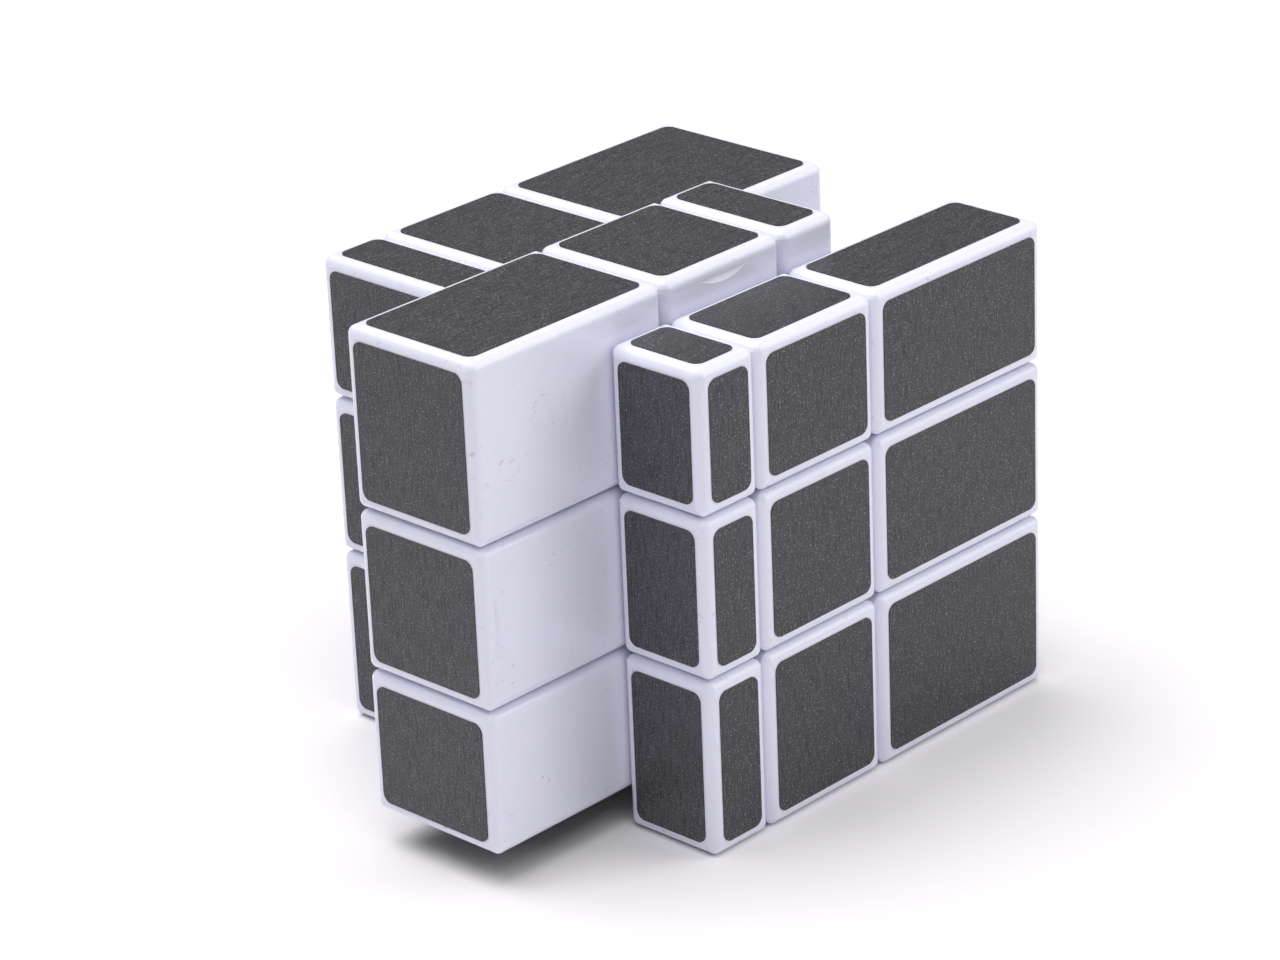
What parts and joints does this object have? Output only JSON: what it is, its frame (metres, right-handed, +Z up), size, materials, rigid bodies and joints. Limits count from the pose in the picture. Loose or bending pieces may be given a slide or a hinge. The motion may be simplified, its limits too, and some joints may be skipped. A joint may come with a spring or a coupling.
{
  "type": "mirror block puzzle cube",
  "caption": "Twisting puzzle of glossy white blocks with dark brushed foils; its layers differ in thickness, and the middle slice stands half a turn out of step.",
  "frame": {"origin": "middle of the footprint's bounding box, on the surface that the two outer slabs stand on", "axes": "+X from the left slab to the right slab along the axis both turn on, +Y from the front (the face towards the camera's left) to the back, +Z up"},
  "size_m": [0.0572, 0.0772, 0.0612],
  "materials": {
    "white_abs": "polished injection-moulded white ABS",
    "brushed_foil": "dark grey metallised film with fine hairline brushing",
    "bearing_abs": "satin moulded white ABS of the hidden sliding pieces",
    "core_nylon": "matt black moulded nylon",
    "zinc_steel": "bright zinc-plated steel"
  },
  "bodies": {
    "left_slab": {"left_corner_front_bottom": "white_abs", "left_edge_front": "white_abs", "left_corner_front_top": "white_abs", "left_edge_bottom": "white_abs", "left_centre": "white_abs", "left_edge_top": "white_abs", "left_corner_back_bottom": "white_abs", "left_edge_back": "white_abs", "left_corner_back_top": "white_abs", "left_centre_cap": "white_abs", "foils_left_side": "brushed_foil", "foils_left_front": "brushed_foil", "foils_left_back": "brushed_foil", "foils_left_bottom": "brushed_foil", "foils_left_top": "brushed_foil", "centre_hubs_left": "bearing_abs", "edge_feet_left": "bearing_abs", "corner_feet_left": "bearing_abs"},
    "middle_slab": {"middle_edge_front_bottom": "white_abs", "middle_centre_front": "white_abs", "middle_edge_front_top": "white_abs", "middle_centre_bottom": "white_abs", "middle_centre_top": "white_abs", "middle_edge_back_bottom": "white_abs", "middle_centre_back": "white_abs", "middle_edge_back_top": "white_abs", "middle_centre_front_cap": "white_abs", "middle_centre_bottom_cap": "white_abs", "middle_centre_top_cap": "white_abs", "foils_middle_front": "brushed_foil", "foils_middle_back": "brushed_foil", "foils_middle_bottom": "brushed_foil", "foils_middle_top": "brushed_foil", "centre_hubs_middle": "bearing_abs", "edge_feet_middle": "bearing_abs", "core": "core_nylon", "core_screws": "zinc_steel", "core_washers": "zinc_steel", "core_springs": "zinc_steel"},
    "right_slab": {"right_corner_front_bottom": "white_abs", "right_edge_front": "white_abs", "right_corner_front_top": "white_abs", "right_edge_bottom": "white_abs", "right_centre": "white_abs", "right_edge_top": "white_abs", "right_corner_back_bottom": "white_abs", "right_edge_back": "white_abs", "right_corner_back_top": "white_abs", "right_centre_cap": "white_abs", "foils_right_side": "brushed_foil", "foils_right_front": "brushed_foil", "foils_right_back": "brushed_foil", "foils_right_bottom": "brushed_foil", "foils_right_top": "brushed_foil", "centre_hubs_right": "bearing_abs", "edge_feet_right": "bearing_abs", "corner_feet_right": "bearing_abs"}
  },
  "joints": [
    {"name": "right_slab_turn", "type": "hinge", "parent": "middle_slab", "child": "right_slab", "pos_m": [0.006, 0, 0.03062], "axis": [1, 0, 0], "continuous": true},
    {"name": "left_slab_turn", "type": "hinge", "parent": "middle_slab", "child": "left_slab", "pos_m": [0.006, 0, 0.03062], "axis": [1, 0, 0], "continuous": true}
  ]
}
